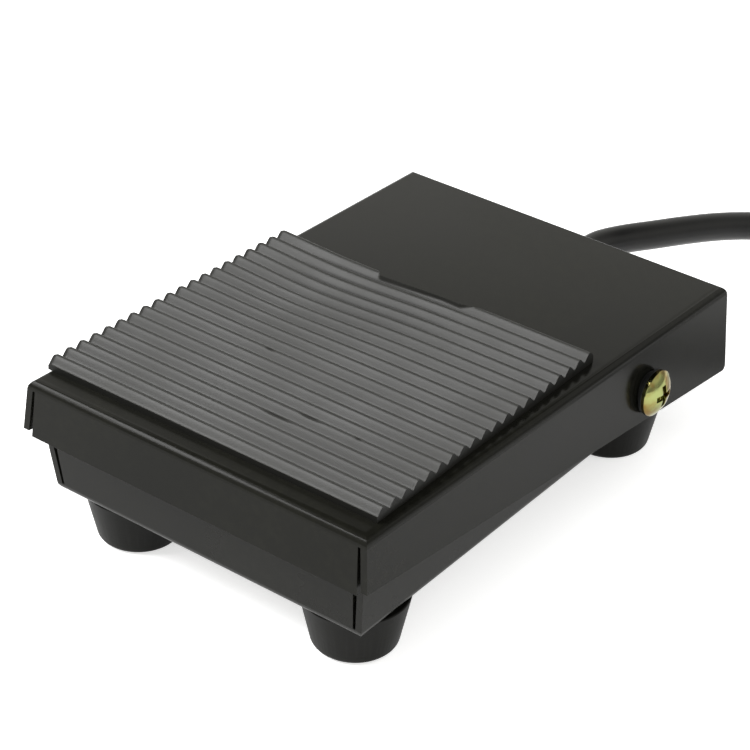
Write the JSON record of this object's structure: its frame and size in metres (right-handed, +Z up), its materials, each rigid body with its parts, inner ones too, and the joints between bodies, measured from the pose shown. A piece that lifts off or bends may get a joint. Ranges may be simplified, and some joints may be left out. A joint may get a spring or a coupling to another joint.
{
  "type": "foot switch",
  "caption": "Low foot switch with a ribbed tread on a hinged sheet-steel pedal over a folded base tray on rubber feet, a snap-action switch inside and a coiled cord.",
  "frame": {"origin": "on the floor, under the middle of the pedal's bounding box", "axes": "+Y from the raised front edge to the rear where the cord leaves, +X to the right, +Z up"},
  "size_m": [0.1462, 0.1888, 0.0342],
  "materials": {
    "base_paint": "semi-gloss black paint on folded sheet steel",
    "pedal_paint": "semi-gloss black paint on folded sheet steel",
    "mat_rubber": "ribbed rubber, a little shiny",
    "foot_rubber": "matte black rubber",
    "plated_steel": "bright zinc plate",
    "yellow_zinc": "yellow chromate over zinc plate",
    "nylon": "black nylon",
    "spring_steel": "bare spring steel",
    "fibre_sheet": "vulcanised fibre",
    "case_plastic": "moulded thermoset",
    "plunger_plastic": "moulded red plastic",
    "contact_metal": "rolled brass strip",
    "core_black": "black core insulation",
    "core_white": "white core insulation",
    "core_red": "red core insulation",
    "cord_rubber": "black cord sheath, slightly glossy",
    "tinned_copper": "tinned strands"
  },
  "bodies": {
    "base": {"base_tray": "base_paint", "foot_front_left": "foot_rubber", "foot_front_right": "foot_rubber", "foot_rear_left": "foot_rubber", "foot_rear_right": "foot_rubber", "foot_screws": "plated_steel", "foot_nuts": "plated_steel", "pivot_screw_left": "yellow_zinc", "pivot_screw_right": "yellow_zinc", "pivot_bush_left": "nylon", "pivot_bush_right": "nylon", "pivot_nuts": "plated_steel", "return_spring": "spring_steel", "spring_post": "plated_steel", "switch_bracket": "plated_steel", "bracket_screws": "plated_steel", "bracket_nuts": "plated_steel", "insulator": "fibre_sheet", "switch_case": "case_plastic", "switch_lid": "case_plastic", "switch_screws": "plated_steel", "switch_nuts": "plated_steel", "terminal_common": "contact_metal", "terminal_open": "contact_metal", "terminal_closed": "contact_metal", "wire_common": "core_black", "wire_open": "core_white", "wire_closed": "core_red", "strain_relief": "cord_rubber", "cord_inner": "cord_rubber", "cord_clip": "plated_steel", "clip_screw": "plated_steel", "clip_nut": "plated_steel", "cord": "cord_rubber", "cord_coil": "cord_rubber", "lead_common": "core_black", "lead_open": "core_white", "lead_closed": "core_red", "lead_tips": "tinned_copper"},
    "pedal": {"pedal_cover": "pedal_paint", "tread_mat": "mat_rubber", "spring_cup": "plated_steel"},
    "lever": {"switch_lever": "spring_steel"},
    "plunger": {"switch_plunger": "plunger_plastic"},
    "blade": {"contact_blade": "contact_metal"}
  },
  "joints": [
    {"name": "pedal_tilt", "type": "hinge", "parent": "base", "child": "pedal", "pos_m": [0, 0.02619, 0.02], "axis": [1, 0, 0], "range_deg": [0, 3.4], "stiffness_Nm_per_rad": 2.8, "springref_deg": -6.02, "deforming": ["return_spring"]},
    {"name": "lever_hinge", "type": "hinge", "parent": "base", "child": "lever", "pos_m": [0, 0.00251, 0.02565], "axis": [1, 0, 0], "range_deg": [0, 9.3]},
    {"name": "plunger_slide", "type": "slide", "parent": "base", "child": "plunger", "axis": [0, 0, -1], "range_m": [0, 0.00061]},
    {"name": "blade_hinge", "type": "hinge", "parent": "base", "child": "blade", "pos_m": [0, 0.00296, 0.02194], "axis": [1, 0, 0], "range_deg": [0, 2.1]}
  ],
  "couplings": [
    {"joint": "lever_hinge", "follows": "pedal_tilt", "ratio": 2.72},
    {"joint": "plunger_slide", "follows": "pedal_tilt", "m_per_rad": 0.0101},
    {"joint": "blade_hinge", "follows": "pedal_tilt", "ratio": 0.6}
  ]
}
